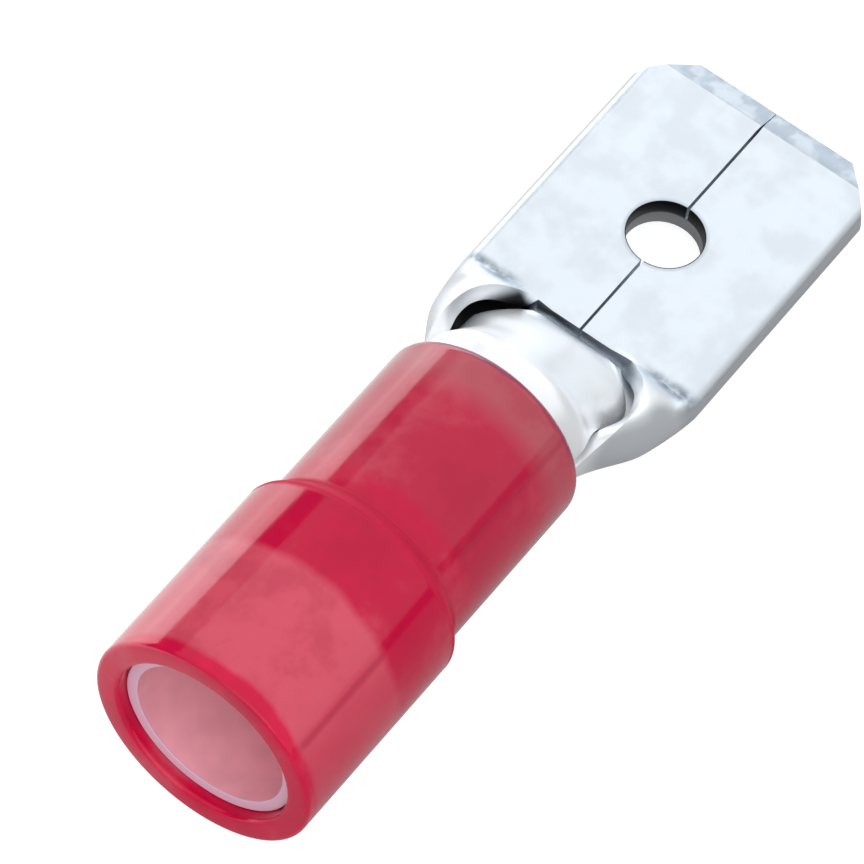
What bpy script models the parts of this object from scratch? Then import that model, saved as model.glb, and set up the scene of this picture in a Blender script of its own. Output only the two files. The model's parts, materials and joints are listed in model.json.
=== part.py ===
"""Insulated male spade terminal with a 6.35 x 0.8 mm tab.

Three pieces: the folded metal terminal, the red nylon sleeve over its barrel, and the
rolled metal grip sleeve that lines the nylon's wide mouth and holds the wire's insulation.

The terminal's own frame has X along the sleeve's axis from the wire mouth to the tab's
tip, and Z up on the side of the tab's folded flaps. It lies as it comes to rest: on the
front edge of the nylon and on the tip of the tab. Units are metres.
"""

from math import asin, atan2, cos, pi, radians, sin, sqrt

import bmesh
import bpy
from mathutils import Matrix

# Sheet and tab, which is the sheet folded to double thickness
sheet = 0.00039
layer_gap = 0.00002
seam_gap = 0.00007
pinched_seam_gap = 0.00002
tab_width = 0.00635
tab_length = 0.0078
tab_below_axis = 0.0005
corner_cut_width = 0.00108
corner_cut_length = 0.00125
lead_in_length = 0.00065
lead_in_drop = 0.00022
hole_diameter = 0.0018
hole_from_tip = 0.0045

# Barrel, and the open trough that joins it to the tab
barrel_diameter = 0.0043
barrel_length = 0.0044
barrel_reach = 0.00025
neck_length = 0.0034
trough_place = 0.0019
trough_flare = 0.00156
trough_depth = 0.0014
trough_bend_radius = 0.00065
trough_floor_turn = radians(10)
trough_side_turn = radians(80)
trough_lip_turn = radians(70)
trough_lip = 0.00085
wall_root_angle = radians(2)
flap_corner = 0.00117
flap_slant = 0.0008
shoulder_crease = 0.6

# Crown of the barrel, pressed down into a sloping facet that ends before the flaps
crown_root_angle = radians(10)
crown_end_angle = radians(50)
crown_crease = 0.00015
crown_gap = 0.00012
crown_end_width = 0.00220
crown_taper = 0.0010
crown_waist = 0.00010
crown_drop_start = 0.0008
crown_drop_end = 0.0017
crown_side_height = 0.00060

# Nylon sleeve
sleeve_length = 0.01045
mouth_length = 0.0053
narrow_wall = 0.00033
step_height = 0.00030
step_run = 0.00028
front_round = 0.00042
mouth_round = 0.00010
step_round = 0.00012
mouth_wall = 0.00060
throat_step = 0.00047
funnel_lip = 0.00022
fit_gap = 0.00002

# Grip sleeve in the mouth
grip_sheet = 0.00028
grip_length = 0.0030
grip_inset = 0.00030
grip_seam = 0.00025
grip_seam_angle = radians(142)

# Places that follow from the sizes above
half_sheet = sheet / 2
tab_thickness = 2 * sheet + layer_gap
fold_outer = sheet + layer_gap / 2
fold_middle = half_sheet + layer_gap / 2
barrel_radius = barrel_diameter / 2 - half_sheet
barrel_front = sleeve_length + barrel_reach
barrel_back = barrel_front - barrel_length
shoulder = barrel_front + neck_length
tip = shoulder + tab_length
lead_in_start = tip - lead_in_length
floor_middle = -tab_below_axis - tab_thickness + half_sheet
flap_middle = -tab_below_axis - half_sheet
trough_x = barrel_front + trough_place
crown_end = shoulder - crown_gap - half_sheet
seat_radius = barrel_diameter / 2 + fit_gap
narrow_radius = seat_radius + narrow_wall
mouth_radius = narrow_radius + step_height
bore_radius = mouth_radius - mouth_wall

floor_steps = 5
side_steps = 9
lip_steps = 5
flap_steps = 3
slot_steps = 2
crown_steps = 28
neck_rows = 26
round_steps = 72
arc_steps = 5


def clear_scene():
    for thing in list(bpy.data.objects):
        bpy.data.objects.remove(thing, do_unlink=True)


def material(name, colour, roughness, metallic):
    """A plain Principled material in the colour of the photographed surface."""
    finish = bpy.data.materials.new(name)
    finish.use_nodes = True
    shader = finish.node_tree.nodes["Principled BSDF"]
    shader.inputs["Base Color"].default_value = (*colour, 1.0)
    shader.inputs["Roughness"].default_value = roughness
    shader.inputs["Metallic"].default_value = metallic
    finish.diffuse_color = (*colour, 1.0)
    return finish


def add_object(name, bm, parent, finish=None):
    """Turn a bmesh into a named object under the parent."""
    mesh = bpy.data.meshes.new(name)
    bm.to_mesh(mesh)
    bm.free()
    thing = bpy.data.objects.new(name, mesh)
    bpy.context.scene.collection.objects.link(thing)
    thing.parent = parent
    if finish:
        mesh.materials.append(finish)
        mesh.shade_smooth()
        mesh.set_sharp_from_angle(angle=radians(32))
    return thing


def cutter(name, bm, parent):
    """A hidden helper that a Boolean modifier reads."""
    thing = add_object(name, bm, parent)
    thing.hide_render = True
    thing.display_type = "WIRE"
    return thing


def boolean(thing, helper, operation):
    cut = thing.modifiers.new(helper.name, "BOOLEAN")
    cut.object = helper
    cut.operation = operation
    cut.solver = "EXACT"


def ease(t):
    t = min(max(t, 0.0), 1.0)
    return t * t * (3 - 2 * t)


def glide(x, places, values, end_rise=0.0):
    """Smooth curve through a few values, level at its start.

    It ends level too, or at end_rise times the mean slope of its last stretch.
    """
    if x <= places[0]:
        return values[0]
    if x >= places[-1]:
        return values[-1]
    last = len(places) - 1
    slopes = [0.0] * (last + 1)
    for i in range(1, last):
        before = (values[i] - values[i - 1]) / (places[i] - places[i - 1])
        after = (values[i + 1] - values[i]) / (places[i + 1] - places[i])
        if before * after > 0:
            slopes[i] = 2 * before * after / (before + after)
    slopes[last] = end_rise * (values[last] - values[last - 1]) / (places[last] - places[last - 1])
    i = max(k for k in range(last) if x >= places[k])
    run = places[i + 1] - places[i]
    t = (x - places[i]) / run
    return (
        (2 * t**3 - 3 * t**2 + 1) * values[i]
        + (t**3 - 2 * t**2 + t) * run * slopes[i]
        + (3 * t**2 - 2 * t**3) * values[i + 1]
        + (t**3 - t**2) * run * slopes[i + 1]
    )


def bend(start, heading, pieces):
    """Walk along a bent strip; each piece is (length, turn, steps). Returns its points."""
    y, z = start
    points = [(y, z)]
    for length, turn, steps in pieces:
        for _ in range(steps):
            step, part = length / steps, turn / steps
            chord = step * (sin(part / 2) / (part / 2) if abs(part) > 1e-9 else 1.0)
            y += chord * cos(heading + part / 2)
            z += chord * sin(heading + part / 2)
            heading += part
            points.append((y, z))
    return points


# The lower sheet's half section at the barrel, the trough and the tab: half width, side
# radius, turns of floor, side and lip, length of the lip, height of the floor

barrel_arc = pi / 2 + wall_root_angle
barrel_lip_turn = 0.2 * barrel_arc
barrel_floor_turn = 0.36 * barrel_arc
barrel_shape = (
    barrel_radius,
    barrel_radius,
    barrel_floor_turn,
    barrel_arc - barrel_floor_turn - barrel_lip_turn,
    barrel_lip_turn,
    barrel_radius * barrel_lip_turn,
    -barrel_radius,
)
trough_shape = (
    (barrel_diameter + trough_flare) / 2 - half_sheet,
    trough_bend_radius,
    trough_floor_turn,
    trough_side_turn,
    trough_lip_turn,
    trough_lip,
    -trough_depth,
)
tab_floor = tab_width / 2 - fold_outer
tab_shape = (
    tab_width / 2 - half_sheet,
    fold_middle,
    0.0,
    pi,
    0.0,
    trough_lip,
    floor_middle,
)


def reach(radius, start, turned):
    """How far an arc gets sideways, up to where it stands upright."""
    upright = pi / 2
    return radius * (sin(min(start + turned, upright)) - sin(min(start, upright)))


def half_section(x, flap):
    """Points of the lower sheet's middle surface at x, from the floor's centre outwards."""
    places = (barrel_front, trough_x, shoulder)
    shapes = zip(barrel_shape, trough_shape, tab_shape)
    shape = [glide(x, places, values, shoulder_crease) for values in shapes]
    half, radius, floor_turn, side_turn, lip_turn, lip, height = shape
    slant = min(max(1 - (shoulder - x) / flap_slant, 0.0), 1.0)
    lip += (tab_floor - flap_corner - lip) * slant**2
    floor = half - reach(radius, floor_turn, side_turn)
    if lip_turn > 1e-6:
        floor -= reach(lip / lip_turn, floor_turn + side_turn, lip_turn)
    if floor_turn > 1e-6:
        floor *= floor_turn / sin(floor_turn)
    pieces = [
        (floor, floor_turn, floor_steps),
        (radius * side_turn, side_turn, side_steps),
        (lip, lip_turn, lip_steps),
    ]
    if flap:
        gap = seam_gap if x < lead_in_start else pinched_seam_gap
        pieces.append((flap_corner - gap / 2, 0.0, flap_steps))
    return bend((0.0, height), 0.0, pieces)


def crown_point(x, angle):
    """The crown's middle surface: the barrel's arc, pressed down to a sloping facet."""
    round_y = barrel_radius * cos(angle)
    round_z = barrel_radius * sin(angle)
    if x <= barrel_front:
        return round_y, round_z
    drop_start = barrel_front + crown_drop_start
    drop_end = barrel_front + crown_drop_end
    root_half = barrel_radius * cos(crown_root_angle)
    half = glide(
        x,
        (barrel_front, drop_start, drop_end),
        (root_half, root_half - crown_waist, root_half),
    )
    taper = min(max(1 - (crown_end - x) / crown_taper, 0.0), 1.0)
    half += (crown_end_width / 2 - half) * taper**1.4
    crease = barrel_front + crown_crease
    end_height = flap_middle
    press = min(max((x - crease) / (crown_end - crease), 0.0), 1.0)
    facet = barrel_radius + (end_height - barrel_radius) * press
    edge = glide(
        x,
        (barrel_front, drop_start, drop_end, crown_end),
        (
            barrel_radius * sin(crown_root_angle),
            0.6 * barrel_radius * sin(crown_root_angle),
            -crown_side_height,
            end_height,
        ),
    )
    start = crown_root_angle + (crown_end_angle - crown_root_angle) * ease(2 * press)
    share = (angle - crown_root_angle) / (pi - 2 * crown_root_angle)
    turned = start + share * (pi - 2 * start)
    flat_y = half * cos(turned) / cos(start)
    flat_z = edge + (facet - edge) * (sin(turned) - sin(start)) / (1 - sin(start))
    blend = ease((x - barrel_front) / crown_drop_start)
    return (
        round_y * (1 - blend) + flat_y * blend,
        min(round_z, facet) * (1 - blend) + flat_z * blend,
    )


def add_patch(bm, rows, columns, point):
    """A grid of quads; point(row, column) gives each corner."""
    grid = [[bm.verts.new(point(r, c)) for c in columns] for r in rows]
    for upper, lower in zip(grid, grid[1:]):
        for k in range(len(columns) - 1):
            bm.faces.new((upper[k], upper[k + 1], lower[k + 1], lower[k]))


def spread(start, end, count):
    return [start + (end - start) * k / count for k in range(count + 1)]


def build_terminal(parent, finish):
    """One sheet: barrel, crown, trough and folded tab, thickened, then punched and coined."""
    bm = bmesh.new()
    barrel_rows = spread(barrel_back, barrel_front, 3)
    neck = spread(barrel_front, shoulder, neck_rows)
    tab_rows = [
        shoulder,
        shoulder + half_sheet,
        lead_in_start - half_sheet,
        lead_in_start + half_sheet,
        tip + sheet,
    ]
    lower_rows = barrel_rows + neck[1:] + tab_rows[1:]
    wall_end = floor_steps + side_steps + lip_steps

    for side in (1, -1):
        add_patch(
            bm,
            lower_rows,
            range(wall_end + 1),
            lambda x, c: (x, side * half_section(x, False)[c][0], half_section(x, False)[c][1]),
        )
        add_patch(
            bm,
            tab_rows,
            range(wall_end, wall_end + flap_steps + 1),
            lambda x, c: (x, side * half_section(x, True)[c][0], half_section(x, True)[c][1]),
        )
        add_patch(
            bm,
            barrel_rows,
            spread(wall_root_angle, crown_root_angle, slot_steps),
            lambda x, a: (x, side * barrel_radius * cos(a), barrel_radius * sin(a)),
        )

    crown_rows = barrel_rows + spread(barrel_front, crown_end, neck_rows)[1:]
    crown_angles = spread(crown_root_angle, pi - crown_root_angle, crown_steps)
    add_patch(bm, crown_rows, crown_angles, lambda x, a: (x, *crown_point(x, a)))

    bmesh.ops.remove_doubles(bm, verts=bm.verts, dist=1e-7)
    bmesh.ops.recalc_face_normals(bm, faces=bm.faces)
    body = add_object("terminal_body", bm, parent, finish)

    thicken = body.modifiers.new("sheet", "SOLIDIFY")
    thicken.thickness = sheet
    thicken.offset = 0.0
    thicken.use_even_offset = True

    boolean(body, detent_punch(parent), "DIFFERENCE")
    boolean(body, tip_die(parent), "INTERSECT")
    return body


def detent_punch(parent):
    """The round punch of the tab's detent hole."""
    bm = bmesh.new()
    bmesh.ops.create_cone(
        bm,
        cap_ends=True,
        segments=48,
        radius1=hole_diameter / 2,
        radius2=hole_diameter / 2,
        depth=4 * tab_thickness,
        matrix=Matrix.Translation(
            (tip - hole_from_tip, 0.0, -tab_below_axis - tab_thickness / 2)
        ),
    )
    return cutter("detent_punch", bm, parent)


def tip_die(parent):
    """A block with the tab's cut corners and lead-in slopes; the terminal keeps what lies in it."""
    bm = bmesh.new()
    length = tip + barrel_diameter
    bmesh.ops.create_cube(
        bm,
        size=1.0,
        matrix=Matrix.Translation((tip - length / 2, 0.0, 0.0))
        @ Matrix.Diagonal((length, 2 * tab_width, 4 * barrel_diameter, 1.0)),
    )
    middle = -tab_below_axis - tab_thickness / 2
    tip_half = tab_thickness / 2 - lead_in_drop
    flat_half = tab_width / 2 - corner_cut_width
    slopes = [
        ((tip, side * flat_half, 0.0), (corner_cut_width, side * corner_cut_length, 0.0))
        for side in (1, -1)
    ] + [
        ((tip, 0.0, middle + side * tip_half), (lead_in_drop, 0.0, side * lead_in_length))
        for side in (1, -1)
    ]
    for place, normal in slopes:
        cut = bmesh.ops.bisect_plane(
            bm,
            geom=bm.verts[:] + bm.edges[:] + bm.faces[:],
            plane_co=place,
            plane_no=normal,
            clear_outer=True,
        )
        rim = [item for item in cut["geom_cut"] if isinstance(item, bmesh.types.BMEdge)]
        bmesh.ops.holes_fill(bm, edges=rim)
    bmesh.ops.recalc_face_normals(bm, faces=bm.faces)
    return cutter("tip_die", bm, parent)


def round_corner(centre_x, centre_r, radius, start, end):
    """Points of an arc in the (x, radius) profile plane; angles in degrees."""
    return [
        (centre_x + radius * cos(radians(a)), centre_r + radius * sin(radians(a)))
        for a in spread(start, end, arc_steps)
    ]


def turn(name, profile, parent, finish, start=0.0, sweep=2 * pi, steps=round_steps):
    """Spin a closed (x, radius) profile round the X axis."""
    bm = bmesh.new()
    ring = [bm.verts.new((x, r * cos(start), r * sin(start))) for x, r in profile]
    edges = [bm.edges.new((a, b)) for a, b in zip(ring, ring[1:] + ring[:1])]
    closed = abs(sweep - 2 * pi) < 1e-9
    geometry = ring + edges
    if not closed:
        geometry.append(bm.faces.new(ring))
    bmesh.ops.spin(
        bm,
        geom=geometry,
        cent=(0.0, 0.0, 0.0),
        axis=(1.0, 0.0, 0.0),
        angle=sweep,
        steps=steps,
    )
    bmesh.ops.remove_doubles(bm, verts=bm.verts, dist=1e-7)
    bmesh.ops.recalc_face_normals(bm, faces=bm.faces)
    return add_object(name, bm, parent, finish)


def build_sleeve(parent, finish):
    """Turned profile: wide mouth, short step, narrow part with a rounded front, funnel inside."""
    grip_stop = grip_inset + grip_length + fit_gap
    barrel_stop = barrel_back - fit_gap
    profile = (
        round_corner(mouth_round, mouth_radius - mouth_round, mouth_round, 180, 90)
        + round_corner(mouth_length - step_round, mouth_radius - step_round, step_round, 90, 25)
        + round_corner(mouth_length + step_run + step_round, narrow_radius + step_round, step_round, 205, 270)
        + round_corner(sleeve_length - front_round, narrow_radius - front_round, front_round, 90, 28)
        + [
            (sleeve_length, seat_radius),
            (barrel_stop, seat_radius),
            (barrel_stop, seat_radius - throat_step),
            (grip_stop, bore_radius - funnel_lip),
            (grip_stop, bore_radius),
        ]
        + round_corner(mouth_round, bore_radius + mouth_round, mouth_round, 270, 180)
    )
    return turn("insulating_sleeve", profile, parent, finish)


def build_grip(parent, finish):
    """A strip rolled to a sleeve, with its butt seam left open."""
    outer = bore_radius - fit_gap
    inner = outer - grip_sheet
    front = grip_inset + grip_length
    profile = [(grip_inset, inner), (grip_inset, outer), (front, outer), (front, inner)]
    open_angle = grip_seam / outer
    return turn(
        "grip_sleeve",
        profile,
        parent,
        finish,
        start=grip_seam_angle + open_angle / 2,
        sweep=2 * pi - open_angle,
        steps=round_steps - 6,
    )


def lay_down():
    """The frame that carries the pieces, turned and lifted as the terminal comes to rest.

    The terminal touches the ground at the nylon's rounded front edge and at the tab,
    where its lower lead-in slope starts.
    """
    foot_x = lead_in_start
    foot_z = -tab_below_axis - tab_thickness
    edge_x = sleeve_length - front_round
    edge_z = -(narrow_radius - front_round)
    run, rise = foot_x - edge_x, foot_z - edge_z
    tilt = atan2(rise, run) + asin(front_round / sqrt(run**2 + rise**2))

    back = mouth_round * cos(tilt) - (mouth_radius - mouth_round) * sin(tilt) - mouth_round
    tip_top = -tab_below_axis - lead_in_drop
    front = tip * cos(tilt) + tip_top * sin(tilt)

    rest = bpy.data.objects.new("rest", None)
    bpy.context.scene.collection.objects.link(rest)
    rest.rotation_euler = (0.0, tilt, 0.0)
    rest.location = (-(back + front) / 2, 0.0, foot_x * sin(tilt) - foot_z * cos(tilt))
    return rest


def main():
    clear_scene()
    rest = lay_down()
    tin = material("tinned_brass", (0.80, 0.83, 0.86), 0.25, 1.0)
    nylon = material("red_nylon", (0.55, 0.03, 0.08), 0.30, 0.0)
    copper = material("tinned_copper", (0.78, 0.74, 0.74), 0.30, 1.0)
    build_terminal(rest, tin)
    build_sleeve(rest, nylon)
    build_grip(rest, copper)


main()
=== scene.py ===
# %% [markdown]
# This file dresses an insulated male spade terminal: a folded metal tab, a red nylon sleeve
# over its barrel, and a rolled metal grip sleeve inside the nylon's wide mouth. The solids
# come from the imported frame, at their real size, and this file gives them their surfaces,
# their fine edges, the light and the camera.

import json
from math import cos, pi, radians, sin

import bmesh
import bpy
from mathutils import Matrix, Vector


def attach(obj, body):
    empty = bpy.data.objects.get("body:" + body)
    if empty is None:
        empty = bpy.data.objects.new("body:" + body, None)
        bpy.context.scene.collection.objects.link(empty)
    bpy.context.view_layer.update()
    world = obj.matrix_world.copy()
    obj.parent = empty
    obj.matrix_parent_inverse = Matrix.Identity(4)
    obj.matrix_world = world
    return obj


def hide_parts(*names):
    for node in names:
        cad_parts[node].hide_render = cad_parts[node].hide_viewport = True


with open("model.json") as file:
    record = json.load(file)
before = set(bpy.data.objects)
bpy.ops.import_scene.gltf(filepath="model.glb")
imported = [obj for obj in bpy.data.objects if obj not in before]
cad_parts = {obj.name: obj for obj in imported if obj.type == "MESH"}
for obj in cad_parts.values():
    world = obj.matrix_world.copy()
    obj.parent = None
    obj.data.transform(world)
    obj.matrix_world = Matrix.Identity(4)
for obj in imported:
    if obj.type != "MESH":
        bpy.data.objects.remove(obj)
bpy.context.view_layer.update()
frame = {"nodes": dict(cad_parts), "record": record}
print("nodes:", sorted(frame["nodes"]))

# %% [markdown]
# The terminal lies nose down by a few degrees, so its own axes lean in the world. The
# record's mounts say how: one lies on the mouth's end face, and one on the tab's upper face.
# From these two comes a matrix that takes the terminal's own frame (X along the sleeve from
# the mouth's face, Z up on the side of the tab's flaps) to the world. Each new piece is
# modelled in that simple frame, and its mesh is then moved to its place.

# %% The terminal's own frame
mounts = {mount["name"]: mount for mount in frame["record"]["mounts"]}
along = -Vector(mounts["wire_mouth_face"]["axis"]).normalized()
upward = Vector(mounts["tab_face"]["axis"]).normalized()
mouth_centre = Vector(mounts["wire_mouth_face"]["pos_m"])
mouth_centre.y = 0.0
own_frame = Matrix.Translation(mouth_centre) @ Matrix(
    (along, upward.cross(along), upward)
).transposed().to_4x4()
print("lean in degrees:", round(Vector((1, 0, 0)).angle(along) * 180 / pi, 2))

# %% [markdown]
# The camera looks down on the terminal from behind its mouth, along a long lens. It could be
# placed by its world position, but a fit to the photo gives angles, so it is placed by its
# azimuth, elevation and roll in the terminal's own frame, its distance, and the point that it
# aims at. The scale is in pixels per metre at that point, and the lens follows from it.

# %% Camera
view_azimuth = radians(-154.06)
view_elevation = radians(56.6)
view_roll = radians(11.78)
view_distance = 0.16
view_scale = 45860.0
aim_along = 0.0110
aim_height = -0.0003
aim_right = -0.001500
aim_up = -0.000371
picture_width = 864

towards = Vector(
    (
        cos(view_elevation) * cos(view_azimuth),
        cos(view_elevation) * sin(view_azimuth),
        sin(view_elevation),
    )
)
level = Vector((0, 0, 1)).cross(towards).normalized()
right = Matrix.Rotation(view_roll, 3, towards) @ level
above = towards.cross(right)
aim = Vector((aim_along, 0.0, aim_height)) + aim_right * right + aim_up * above
turned = Matrix((right, above, towards)).transposed().to_4x4()
lens = bpy.data.cameras.new("camera")
lens.sensor_width = 36.0
lens.lens = view_scale * view_distance * lens.sensor_width / picture_width
camera = bpy.data.objects.new("camera", lens)
bpy.context.scene.collection.objects.link(camera)
camera.matrix_world = own_frame @ Matrix.Translation(aim + view_distance * towards) @ turned
bpy.context.scene.camera = camera
print("lens in mm:", round(lens.lens, 1))

# %% [markdown]
# The floor is one sheet of pale paper, so a single grid face is enough. A helper turns each
# finished bmesh into an object, and the later pieces use it too.

# %% Floor
floor_size = 1.6


def link(name, bm):
    """Make a smooth object of a bmesh and link it into the scene."""
    mesh = bpy.data.meshes.new(name)
    bm.to_mesh(mesh)
    bm.free()
    mesh.shade_smooth()
    piece = bpy.data.objects.new(name, mesh)
    bpy.context.scene.collection.objects.link(piece)
    return piece


bm = bmesh.new()
bmesh.ops.create_grid(bm, x_segments=1, y_segments=1, size=floor_size / 2)
floor = link("floor", bm)
print("floor side in m:", floor_size)

# %% [markdown]
# The paper's own colour is a light grey, which shows the terminal's soft shadow and throws
# little red back at the nylon. A glow lifts it to white, which the Light Path node gives to
# the camera, to mirrors and to clear things only, so it adds no light to matt surfaces. In
# mirrors the glow is weak on the near side and grows to more than white within 25 mm on the
# far side. It gives the curved nylon the broad pale band of the photo.

# %% Paper
paper_grey = 0.38
camera_glow = 0.84
near_glow = 0.15
far_glow = 3.5
far_away = 0.025

paper = bpy.data.materials.new("paper")
paper.use_nodes = True
tree = paper.node_tree
tree.nodes.clear()
matt = tree.nodes.new("ShaderNodeBsdfDiffuse")
matt.inputs["Color"].default_value = (paper_grey, paper_grey, paper_grey, 1.0)
glow = tree.nodes.new("ShaderNodeEmission")
rays = tree.nodes.new("ShaderNodeLightPath")
mirrored = tree.nodes.new("ShaderNodeMath")
mirrored.operation = "MAXIMUM"
for_camera = tree.nodes.new("ShaderNodeMath")
for_camera.operation = "MULTIPLY"
for_camera.inputs[1].default_value = camera_glow
where = tree.nodes.new("ShaderNodeTexCoord")
where_parts = tree.nodes.new("ShaderNodeSeparateXYZ")
sides = tree.nodes.new("ShaderNodeMapRange")
sides.inputs["From Min"].default_value = 0.0
sides.inputs["From Max"].default_value = far_away
sides.inputs["To Min"].default_value = near_glow
sides.inputs["To Max"].default_value = far_glow
strength = tree.nodes.new("ShaderNodeMath")
strength.operation = "MULTIPLY_ADD"
grey_and_glow = tree.nodes.new("ShaderNodeAddShader")
end = tree.nodes.new("ShaderNodeOutputMaterial")
tree.links.new(rays.outputs["Is Glossy Ray"], mirrored.inputs[0])
tree.links.new(rays.outputs["Is Transmission Ray"], mirrored.inputs[1])
tree.links.new(rays.outputs["Is Camera Ray"], for_camera.inputs[0])
tree.links.new(where.outputs["Object"], where_parts.inputs["Vector"])
tree.links.new(where_parts.outputs["Y"], sides.inputs["Value"])
tree.links.new(mirrored.outputs[0], strength.inputs[0])
tree.links.new(sides.outputs["Result"], strength.inputs[1])
tree.links.new(for_camera.outputs[0], strength.inputs[2])
tree.links.new(strength.outputs[0], glow.inputs["Strength"])
tree.links.new(matt.outputs[0], grey_and_glow.inputs[0])
tree.links.new(glow.outputs[0], grey_and_glow.inputs[1])
tree.links.new(grey_and_glow.outputs[0], end.inputs["Surface"])
floor.data.materials.append(paper)
print("glow in mirrors, near and far:", near_glow, far_glow)

# %% [markdown]
# Gloss and metal are only as good as what they mirror. A wide canopy of light hangs over the
# terminal and leans towards the camera's side. A low lamp glows along the far side. Between
# the two stays a dark gap, which the nylon mirrors as a deep red line beside its highlight.
# A panel faces the tab's tip, and a weak lamp looks into the mouth.
# Each lamp is placed by its direction from the terminal, and set by the brightness of its
# face, which is what the metal mirrors.

# %% Lamps
lamp_distance = 0.5


def softbox(name, azimuth, elevation, width, height, brightness):
    """A large lamp that faces the terminal from the given direction (degrees)."""
    lamp = bpy.data.lights.new(name, "AREA")
    lamp.shape = "RECTANGLE"
    lamp.size = width
    lamp.size_y = height
    lamp.energy = brightness * pi * width * height
    place = Vector(
        (
            cos(radians(elevation)) * cos(radians(azimuth)),
            cos(radians(elevation)) * sin(radians(azimuth)),
            sin(radians(elevation)),
        )
    )
    stand = bpy.data.objects.new(name, lamp)
    bpy.context.scene.collection.objects.link(stand)
    stand.location = lamp_distance * place
    stand.rotation_euler = place.to_track_quat("Z", "Y").to_euler()
    print(name, "watts:", round(lamp.energy, 2))


softbox("canopy", azimuth=-90, elevation=77.5, width=3.0, height=2.4, brightness=1.0)
softbox("low_lamp", azimuth=60, elevation=2, width=0.80, height=0.13, brightness=4.0)
softbox("end_panel", azimuth=10, elevation=17, width=0.7, height=0.30, brightness=0.9)
softbox("mouth_lamp", azimuth=200, elevation=28, width=0.5, height=0.35, brightness=1.2)

# %% [markdown]
# The world is a dim, slightly cool grey, which fills the shadows. The Standard view transform
# shows each colour as it is written.

# %% World
world_level = 0.15
world_tint = (0.95, 0.97, 1.0)

world = bpy.data.worlds.new("studio")
bpy.context.scene.world = world
world.use_nodes = True
sky = world.node_tree.nodes["Background"]
sky.inputs["Color"].default_value = (*world_tint, 1.0)
sky.inputs["Strength"].default_value = world_level
bpy.context.scene.view_settings.view_transform = "Standard"
print("world level:", world_level)

# %% [markdown]
# The metal pieces keep the solids' exact form. A solid from the frame is loose triangles, so
# a copy is merged into one skin, its flat faces are joined, and its sharp edges get the
# small rounding that shears and dies leave on sheet metal. It then stands in for the solid.

# %% Merge and soften the sheet metal
merge_distance = 0.000002
flat_angle = radians(0.3)
sheared_edge = radians(38)
crisp_edge = radians(50)


def soften(node, rounding):
    """A merged copy of a solid, with its sharp edges rounded, that replaces it."""
    bm = bmesh.new()
    bm.from_mesh(frame["nodes"][node].data)
    bmesh.ops.remove_doubles(bm, verts=bm.verts, dist=merge_distance)
    bmesh.ops.dissolve_limit(
        bm, angle_limit=flat_angle, verts=bm.verts, edges=bm.edges, delimit=set()
    )
    sharp = [
        edge
        for edge in bm.edges
        if len(edge.link_faces) == 2 and edge.calc_face_angle() > sheared_edge
    ]
    bmesh.ops.bevel(
        bm,
        geom=sharp,
        affect="EDGES",
        offset=rounding,
        offset_type="OFFSET",
        segments=2,
        profile=0.5,
        material=-1,
        clamp_overlap=True,
        loop_slide=True,
    )
    print(node, "faces", len(bm.faces), "sharp edges rounded", len(sharp))
    piece = link(node + "_skin", bm)
    even = piece.modifiers.new("even", "WEIGHTED_NORMAL")
    even.keep_sharp = True
    even.weight = 100
    piece.data.set_sharp_from_angle(angle=crisp_edge)
    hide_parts(node)
    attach(piece, "root")
    return piece


terminal = soften("terminal_body", rounding=0.00004)
grip = soften("grip_sleeve", rounding=0.00003)

# %% [markdown]
# The nylon sleeve is a turned form. It could be cut from cylinders, but its wall, its step and
# its funnel are one half outline, spun round the axis. The outline has sharp corners first,
# and those that the mould rounds get a bevel on their point before the spin.

# %% Half outline of the nylon sleeve
sleeve_length = 0.01045
mouth_length = 0.0053
mouth_radius = 0.0028
narrow_radius = 0.0025
step_run = 0.00028
mouth_wall = 0.0006
throat_radius = 0.0017
funnel_lip = 0.00022
fit_gap = 0.00002
barrel_radius = 0.00215
barrel_back = 0.0063
grip_stop = 0.0033 + fit_gap
rim_rounding = 0.00012
step_rounding = 0.00006
step_foot_rounding = 0.00005
front_rounding = 0.00032
corner_steps = 6

bore = mouth_radius - mouth_wall
seat = barrel_radius + fit_gap
barrel_stop = barrel_back - fit_gap
outline = [
    (0.0, mouth_radius, rim_rounding),
    (mouth_length, mouth_radius, step_rounding),
    (mouth_length + step_run, narrow_radius, step_foot_rounding),
    (sleeve_length, narrow_radius, front_rounding),
    (sleeve_length, seat, 0.0),
    (barrel_stop, seat, 0.0),
    (barrel_stop, throat_radius, 0.0),
    (grip_stop, bore - funnel_lip, 0.0),
    (grip_stop, bore, 0.0),
    (0.0, bore, rim_rounding),
]
bm = bmesh.new()
ring = [bm.verts.new((x, r, 0.0)) for x, r, rounding in outline]
for one, other in zip(ring, ring[1:] + ring[:1]):
    bm.edges.new((one, other))
for corner, (x, r, rounding) in zip(ring, outline):
    if rounding:
        bmesh.ops.bevel(
            bm,
            geom=[corner],
            affect="VERTICES",
            offset=rounding,
            segments=corner_steps,
            profile=0.5,
            material=-1,
        )
print("outline points:", len(bm.verts))

# %% [markdown]
# The spin closes on itself with use_merge. A spin can leave the skin inside out, so its
# normals are recalculated once its doubles are merged. The terminal's own frame then carries
# the mesh to its place, and the object stays at the origin.

# %% Nylon sleeve
turn_steps = 160

bmesh.ops.spin(
    bm,
    geom=bm.verts[:] + bm.edges[:],
    cent=(0.0, 0.0, 0.0),
    axis=(1.0, 0.0, 0.0),
    angle=2 * pi,
    steps=turn_steps,
    use_merge=True,
)
bmesh.ops.remove_doubles(bm, verts=bm.verts, dist=merge_distance)
bmesh.ops.recalc_face_normals(bm, faces=bm.faces)
bmesh.ops.transform(bm, matrix=own_frame, verts=bm.verts)
print("nylon faces", len(bm.faces), "volume in mm3", round(bm.calc_volume() * 1e9, 1))
sleeve = link("insulating_sleeve_skin", bm)
sleeve.data.set_sharp_from_angle(angle=crisp_edge)
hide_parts("insulating_sleeve")
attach(sleeve, "root")
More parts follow.
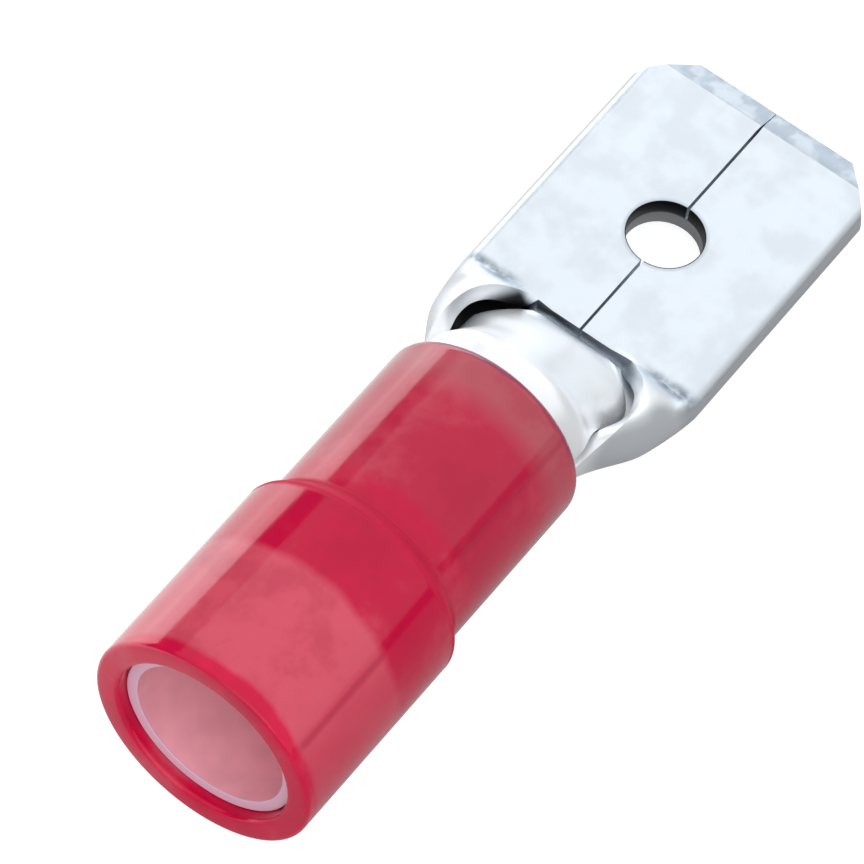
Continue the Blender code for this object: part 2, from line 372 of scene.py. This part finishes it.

# %% [markdown]
# A finish or a painted shade often depends on the place: a punched hole has a raw wall, and a
# fold's side is painted darker than a flat. A painted image could carry that, but places that
# are found by sums stay sharp at any size and need no image. The Object coordinates give the
# place, and a Mapping node turns them into the terminal's own frame.

# %% Helper for places in a material
to_own = own_frame.inverted()


def own_place(tree):
    """The surface point in the terminal's own frame, whole and as X, Y and Z."""
    place = tree.nodes.new("ShaderNodeTexCoord")
    straight = tree.nodes.new("ShaderNodeMapping")
    straight.inputs["Location"].default_value = to_own.translation
    straight.inputs["Rotation"].default_value = to_own.to_euler()
    tree.links.new(place.outputs["Object"], straight.inputs["Vector"])
    parts = tree.nodes.new("ShaderNodeSeparateXYZ")
    tree.links.new(straight.outputs["Vector"], parts.inputs["Vector"])
    return straight.outputs["Vector"], parts.outputs


print("own frame starts at, in mm:", [round(1000 * part, 2) for part in own_frame.translation])

# %% [markdown]
# Four helpers keep the sums short: any Math node, the overlap of several shares, a smooth
# fade between two values, and a mix of two colours. A share is a number from 0 to 1 that says
# how much of a finish shows.

# %% Helpers for sums, shares and colours


def sums(tree, operation, *values):
    """A Math node on sockets and numbers; returns its result."""
    node = tree.nodes.new("ShaderNodeMath")
    node.operation = operation
    for socket, value in zip(node.inputs, values):
        if isinstance(value, (int, float)):
            socket.default_value = value
        else:
            tree.links.new(value, socket)
    return node.outputs[0]


def overlap(tree, one, *others):
    """The share of places where every one of the given shares holds."""
    for other in others:
        one = sums(tree, "MULTIPLY", one, other)
    return one


def fade(tree, value, none_at, full_at):
    """A smooth share, 0 where the value is none_at and 1 where it is full_at."""
    node = tree.nodes.new("ShaderNodeMapRange")
    node.interpolation_type = "SMOOTHSTEP"
    node.inputs["From Min"].default_value = none_at
    node.inputs["From Max"].default_value = full_at
    tree.links.new(value, node.inputs["Value"])
    return node.outputs["Result"]


def mixed(tree, share, one, other):
    """A colour between two, each a socket or a plain colour."""
    node = tree.nodes.new("ShaderNodeMix")
    node.data_type = "RGBA"
    tree.links.new(share, node.inputs["Factor"])
    for socket, value in ((node.inputs[6], one), (node.inputs[7], other)):
        if isinstance(value, tuple):
            socket.default_value = (*value, 1.0)
        else:
            tree.links.new(value, socket)
    return node.outputs[2]


# %% [markdown]
# No real surface is even. A noise gives each finish its own unevenness, and a range or a
# bump makes gloss or relief of it.

# %% Helpers for unevenness


def noise(tree, place, scale, detail, roughness=0.5):
    """The grey value of a Noise Texture at a place."""
    node = tree.nodes.new("ShaderNodeTexNoise")
    node.inputs["Scale"].default_value = scale
    node.inputs["Detail"].default_value = detail
    node.inputs["Roughness"].default_value = roughness
    tree.links.new(place, node.inputs["Vector"])
    return node.outputs["Fac"]


def between(tree, share, low, high):
    """A number that runs evenly from low to high as the share runs from 0 to 1."""
    node = tree.nodes.new("ShaderNodeMapRange")
    node.inputs["To Min"].default_value = low
    node.inputs["To Max"].default_value = high
    tree.links.new(share, node.inputs["Value"])
    return node.outputs["Result"]


def uneven(tree, shader, height, strength, distance):
    """Let the shader's surface rise and fall with a grey value."""
    node = tree.nodes.new("ShaderNodeBump")
    node.inputs["Strength"].default_value = strength
    node.inputs["Distance"].default_value = distance
    tree.links.new(height, node.inputs["Height"])
    tree.links.new(node.outputs["Normal"], shader.inputs["Normal"])


# %% [markdown]
# Tin on brass is a bright, slightly milky metal. Rolling leaves fine lines along the strip,
# and the plating's thickness varies a little, which shows as soft patches in its colour and
# gloss. The lines are far too fine for geometry, so a noise that is stretched along the strip
# gives them as bump.

# %% Plated metal
line_stretch = 0.12
line_scale = 26000.0
line_strength = 0.25
line_height = 0.000004
patch_scale = 1100.0
patch_fade = (0.36, 0.6)
thin_plating = 0.91
gloss_range = (-0.05, 0.08)


def tinned(name, colour, roughness, metallic=1.0):
    """A plated metal with fine rolling lines and soft patches; its colour is linked later."""
    metal = bpy.data.materials.new(name)
    metal.use_nodes = True
    tree = metal.node_tree
    shader = tree.nodes["Principled BSDF"]
    shader.inputs["Metallic"].default_value = metallic
    place, axes = own_place(tree)
    stretch = tree.nodes.new("ShaderNodeMapping")
    stretch.inputs["Scale"].default_value = (line_stretch, 1.0, 1.0)
    tree.links.new(place, stretch.inputs["Vector"])
    lines = noise(tree, stretch.outputs["Vector"], line_scale, detail=4.0)
    patches = noise(tree, place, patch_scale, detail=6.0)
    thinner = tuple(thin_plating * part for part in colour)
    tone = mixed(tree, fade(tree, patches, *patch_fade), thinner, colour)
    gloss = between(tree, patches, roughness + gloss_range[0], roughness + gloss_range[1])
    tree.links.new(gloss, shader.inputs["Roughness"])
    uneven(tree, shader, lines, line_strength, line_height)
    return metal, shader, tone, place, axes


def put_on(piece, material, slot):
    """Give a piece its only material, and print the record's slot that it stands for."""
    piece.data.materials.clear()
    piece.data.materials.append(material)
    print(slot, "nodes:", len(material.node_tree.nodes))


# %% [markdown]
# The grip sleeve is tinned metal too, but it is only seen inside the red nylon, where red
# light falls on it. A true metal would need that light from the nylon around it, so a pinkish
# colour without metal gloss stands in for it as painted red light. The cut end that faces out
# of the mouth gets a cooler tone, painted for the light from outside that falls on it.

# %% Grip sleeve's metal
grip_pink = (1.0, 0.47, 0.55)
grip_roughness = 0.55
cut_end_outside_light = (0.72, 0.44, 0.56)
cut_end_fade = (0.00036, 0.00032)

copper, shader, tone, place, axes = tinned("tinned_copper", grip_pink, grip_roughness, 0.0)
tree = copper.node_tree
cut_end = fade(tree, axes["X"], *cut_end_fade)
tree.links.new(mixed(tree, cut_end, tone, cut_end_outside_light), shader.inputs["Base Color"])
put_on(grip, copper, "tinned_copper")

# %% [markdown]
# The terminal's sheet is told apart by place, and by where its surface faces, which the
# Geometry node gives. The first mark is painted shade: the tab's folded sides, which face
# sideways, are coloured greyer.

# %% Sheet's metal and painted shade on its folded sides
tin_white = (0.70, 0.76, 0.82)
tin_roughness = 0.36
fold_shade_grey = (0.49, 0.52, 0.55)
fold_place = (0.0021, 0.0024)
sideways_fade = (0.30, 0.65)

brass, shader, plain_tone, place, axes = tinned("tinned_brass", tin_white, tin_roughness)
tree = brass.node_tree
facing = tree.nodes.new("ShaderNodeNewGeometry")
normal = tree.nodes.new("ShaderNodeSeparateXYZ")
tree.links.new(facing.outputs["Normal"], normal.inputs["Vector"])
facing_up = normal.outputs["Z"]
facing_left = normal.outputs["Y"]
far_out = sums(tree, "ABSOLUTE", axes["Y"])
facing_sideways = fade(tree, sums(tree, "ABSOLUTE", facing_left), *sideways_fade)
fold_painted_shade = overlap(tree, facing_sideways, fade(tree, far_out, *fold_place))
print("nodes with the folds:", len(tree.nodes))

# %% [markdown]
# Between the nylon and the tab the sheet is an open trough. Its walls mirror each other and
# come out pale, but the photo shows the far half of its inside black, so a near-black painted
# shade is faded in there, low on the wall that faces inward and on the floor.

# %% Painted shade in the trough
shoulder = 0.0141
trough_floor = -0.00085
wall_dark = (-0.00010, -0.00045)
far_half = (-0.0002, 0.0006)
inward_fade = (-0.15, -0.5)
floor_up_fade = (0.1, 0.3)
floor_blend = 0.0001
trough_blend = 0.0002
trough_shade_black = (0.02, 0.022, 0.026)

same_side = sums(tree, "MULTIPLY", facing_left, sums(tree, "SIGN", axes["Y"]))
facing_inward = fade(tree, same_side, *inward_fade)
wall_inside = overlap(tree, facing_inward, fade(tree, axes["Z"], *wall_dark))
on_floor = fade(tree, axes["Z"], trough_floor, trough_floor - floor_blend)
floor_inside = overlap(tree, on_floor, fade(tree, facing_up, *floor_up_fade))
after_nylon = fade(tree, axes["X"], sleeve_length, sleeve_length + trough_blend)
before_tab = fade(tree, axes["X"], shoulder, shoulder - trough_blend)
in_trough = overlap(tree, after_nylon, before_tab)
either = sums(tree, "MAXIMUM", wall_inside, floor_inside)
trough_painted_shade = overlap(tree, either, in_trough, fade(tree, axes["Y"], *far_half))
print("nodes with the trough's dark:", len(tree.nodes))

# %% [markdown]
# Painted shade darkens the sheet along the crease where the trough becomes the tab. It lies in
# broken lines on the faces that look up, so a noise cuts a band along the crease.

# %% Painted shade at the crease
mark_noise_scale = 2500.0
crease_shade_band = (0.00032, 0.00006)
crease_shade_sides = (0.0015, 0.0021)
crease_shade_up_fade = (0.5, 0.8)
crease_shade_breaks = (0.26, 0.60)
crease_shade_grey = (0.22, 0.27, 0.32)

mark_noise = noise(tree, place, mark_noise_scale, detail=4.0)
off_crease = sums(tree, "ABSOLUTE", sums(tree, "SUBTRACT", axes["X"], shoulder))
near_crease = fade(tree, off_crease, *crease_shade_band)
at_the_sides = fade(tree, far_out, *crease_shade_sides)
on_top = fade(tree, facing_up, *crease_shade_up_fade)
crease_shade = overlap(tree, near_crease, at_the_sides, on_top, fade(tree, mark_noise, *crease_shade_breaks))
print("nodes with the scuffs:", len(tree.nodes))

# %% [markdown]
# The punch leaves a raw wall in the hole and a thin grey burr round it. The wall's dark is
# partly that raw face and partly painted shade inside the hole. In the photo the wall is
# nearly black in its upper part and grey below, so it is coloured in two tones.

# %% Hole and its burr
hole_place = 0.0174
hole_radius = 0.0009
wall_fade = (hole_radius + 0.00003, hole_radius + 0.00001)
burr_fade = (hole_radius + 0.00013, hole_radius + 0.00003)
burr_share = 0.6
upper_wall_fade = (-0.00095, -0.00085)
hole_shade_black = (0.008, 0.010, 0.013)
hole_grey = (0.40, 0.41, 0.43)
burr_grey = (0.42, 0.47, 0.53)

off_hole_x = sums(tree, "POWER", sums(tree, "SUBTRACT", axes["X"], hole_place), 2.0)
off_hole_y = sums(tree, "POWER", axes["Y"], 2.0)
from_hole = sums(tree, "SQRT", sums(tree, "ADD", off_hole_x, off_hole_y))
hole_wall = fade(tree, from_hole, *wall_fade)
upper_wall = fade(tree, axes["Z"], *upper_wall_fade)
hole_tone = mixed(tree, upper_wall, hole_grey, hole_shade_black)
burr = sums(tree, "MULTIPLY", fade(tree, from_hole, *burr_fade), burr_share)
print("nodes with the hole:", len(tree.nodes))

# %% [markdown]
# The lead-in slopes at the tip are coloured greyer and blotchy. The pressed crown and the
# trough are nearly white in the photo, more than a mirror of this studio shows, so that part
# of the sheet gets a painted brightness and is a little less metallic than it really is.

# %% Lead-in slopes and pressed crown
lead_in_start = 0.02125
lead_in_slope_fade = (lead_in_start - 0.00002, lead_in_start + 0.00003)
blotch_fade = (0.4, 0.62)
pressed_end = (0.0139, 0.0134)
pressed_share = 0.85
pressed_milk = 0.45
slope_grey = (0.38, 0.44, 0.51)
slope_light = (0.50, 0.56, 0.62)
pressed_bright = (0.90, 0.92, 0.94)

lead_in_slope = fade(tree, axes["X"], *lead_in_slope_fade)
slope_tone = mixed(tree, fade(tree, mark_noise, *blotch_fade), slope_grey, slope_light)
pressed = sums(tree, "MULTIPLY", fade(tree, axes["X"], *pressed_end), pressed_share)
milky = sums(tree, "MULTIPLY_ADD", pressed, -pressed_milk, 1.0)
tree.links.new(milky, shader.inputs["Metallic"])
print("nodes with the slopes and the crown:", len(tree.nodes))

# %% [markdown]
# The marks are laid over the plain tin one by one. A later one covers an earlier one, so the
# widest come first and the dark places last.

# %% Sheet's marks put together
marks = [
    (pressed, pressed_bright),
    (lead_in_slope, slope_tone),
    (burr, burr_grey),
    (fold_painted_shade, fold_shade_grey),
    (crease_shade, crease_shade_grey),
    (trough_painted_shade, trough_shade_black),
    (hole_wall, hole_tone),
]
tone = plain_tone
for share, colour in marks:
    tone = mixed(tree, share, tone, colour)
tree.links.new(tone, shader.inputs["Base Color"])
put_on(terminal, brass, "tinned_brass")

# %% [markdown]
# The nylon is dyed red and lets some light through, so what lies behind it changes its
# colour: metal behind a thin wall makes it pale, and a hollow or a thick wall makes it deep.
# Real see-through would be slow to render, so a ramp along the sleeve carries those zones
# instead: the rim, the grip sleeve, the hollow between, the barrel, and the front edge, whose
# purplish colour is a painted dark reflection. A noise shifts the zones' borders a little.

# %% Red nylon and its zones
rim_red = (0.64, 0.003, 0.052)
deep_red = (0.52, 0.003, 0.044)
pale_red = (0.62, 0.078, 0.122)
barrel_red = (0.46, 0.013, 0.050)
front_red = (0.44, 0.080, 0.105)
edge_shade_purple = (0.20, 0.006, 0.075)
zones = [
    (0.0, rim_red),
    (0.00025, rim_red),
    (0.00040, pale_red),
    (0.00320, pale_red),
    (0.00345, deep_red),
    (0.00615, deep_red),
    (0.00650, barrel_red),
    (0.00890, barrel_red),
    (0.00960, front_red),
    (0.01018, front_red),
    (0.01032, edge_shade_purple),
]
mottle_scale = 450.0
zone_drift = 0.0006

nylon = bpy.data.materials.new("red_nylon")
nylon.use_nodes = True
tree = nylon.node_tree
shader = tree.nodes["Principled BSDF"]
place, axes = own_place(tree)
mottle = noise(tree, place, mottle_scale, detail=3.0)
drift = sums(tree, "MULTIPLY_ADD", mottle, zone_drift, axes["X"])
along_sleeve = tree.nodes.new("ShaderNodeMapRange")
along_sleeve.inputs["From Min"].default_value = zone_drift / 2
along_sleeve.inputs["From Max"].default_value = sleeve_length + zone_drift / 2
tree.links.new(drift, along_sleeve.inputs["Value"])
ramp = tree.nodes.new("ShaderNodeValToRGB")
while len(ramp.color_ramp.elements) < len(zones):
    ramp.color_ramp.elements.new(0.5)
for stop, (x, colour) in zip(ramp.color_ramp.elements, zones):
    stop.position = x / sleeve_length
    stop.color = (*colour, 1.0)
tree.links.new(along_sleeve.outputs["Result"], ramp.inputs["Fac"])
print("nylon zones:", len(zones))

# %% [markdown]
# The dye is a little cloudy, paler in some places and darker in others. The side that the
# photo has nearest is coloured a deeper red low down, as painted shade that is faded in by
# place.

# %% Cloudy dye and painted shade on the near side
cloud_scale = 520.0
cloud_share = 0.30
cloud_red = (0.66, 0.110, 0.150)
shade_red = (0.36, 0.003, 0.036)
paler_fade = (0.50, 0.68)
darker_fade = (0.48, 0.34)
near_side_shade_fade = (-0.0018, -0.0028)
near_side_shade_share = 0.5

clouds = noise(tree, place, cloud_scale, detail=6.0, roughness=0.6)
paler = sums(tree, "MULTIPLY", fade(tree, clouds, *paler_fade), cloud_share)
darker = sums(tree, "MULTIPLY", fade(tree, clouds, *darker_fade), cloud_share)
near_side_shade = sums(tree, "MULTIPLY", fade(tree, axes["Y"], *near_side_shade_fade), near_side_shade_share)
tone = mixed(tree, paler, ramp.outputs["Color"], cloud_red)
tone = mixed(tree, darker, tone, shade_red)
tone = mixed(tree, near_side_shade, tone, deep_red)
print("nodes with the clouds:", len(tree.nodes))

# %% [markdown]
# One thin darker line shows through the nylon wherever metal lies behind it. Over the grip
# sleeve it is that sleeve's open seam. Over the barrel it follows the photo, because the solid
# barrel has its seam on top. The angle round the axis finds the line.

# %% Seam line behind the nylon
seam_red = (0.34, 0.010, 0.045)
seam_angle = radians(141)
seam_fade = (0.055, 0.008)
seam_share = 0.4
grip_begins = (0.0002, 0.0005)
grip_ends = (0.0034, 0.0032)
barrel_begins = (0.0062, 0.0065)

around = sums(tree, "ARCTAN2", axes["Z"], axes["Y"])
off_seam = sums(tree, "ABSOLUTE", sums(tree, "SUBTRACT", around, seam_angle))
past_rim = fade(tree, axes["X"], *grip_begins)
over_grip = overlap(tree, past_rim, fade(tree, axes["X"], *grip_ends))
over_barrel = fade(tree, axes["X"], *barrel_begins)
over_metal = sums(tree, "MAXIMUM", over_grip, over_barrel)
seam_line = overlap(tree, fade(tree, off_seam, *seam_fade), over_metal)
seam = sums(tree, "MULTIPLY", seam_line, seam_share)
tree.links.new(mixed(tree, seam, tone, seam_red), shader.inputs["Base Color"])
print("nodes with the seam line:", len(tree.nodes))

# %% [markdown]
# Moulded nylon is glossy, and the same mottle as above breaks its gloss a little. The step
# between its two widths is kept dull, because the photo shows no bright ring on its edges. A
# little subsurface light and transmission soften the red.

# %% Gloss of the nylon
step_middle = mouth_length + step_run / 2
dull_band = (0.00034, 0.00020)
dull_share = 0.55
nylon_gloss = (0.07, 0.14)

shader.inputs["IOR"].default_value = 1.5
shader.inputs["Specular IOR Level"].default_value = 0.22
shader.inputs["Transmission Weight"].default_value = 0.06
shader.inputs["Subsurface Weight"].default_value = 0.2
shader.inputs["Subsurface Radius"].default_value = (1.0, 0.2, 0.2)
shader.inputs["Subsurface Scale"].default_value = 0.0006
off_step = sums(tree, "ABSOLUTE", sums(tree, "SUBTRACT", axes["X"], step_middle))
dull = sums(tree, "MULTIPLY", fade(tree, off_step, *dull_band), dull_share)
roughness = sums(tree, "ADD", between(tree, mottle, *nylon_gloss), dull)
tree.links.new(roughness, shader.inputs["Roughness"])
uneven(tree, shader, mottle, strength=0.3, distance=0.00003)
put_on(sleeve, nylon, "red_nylon")
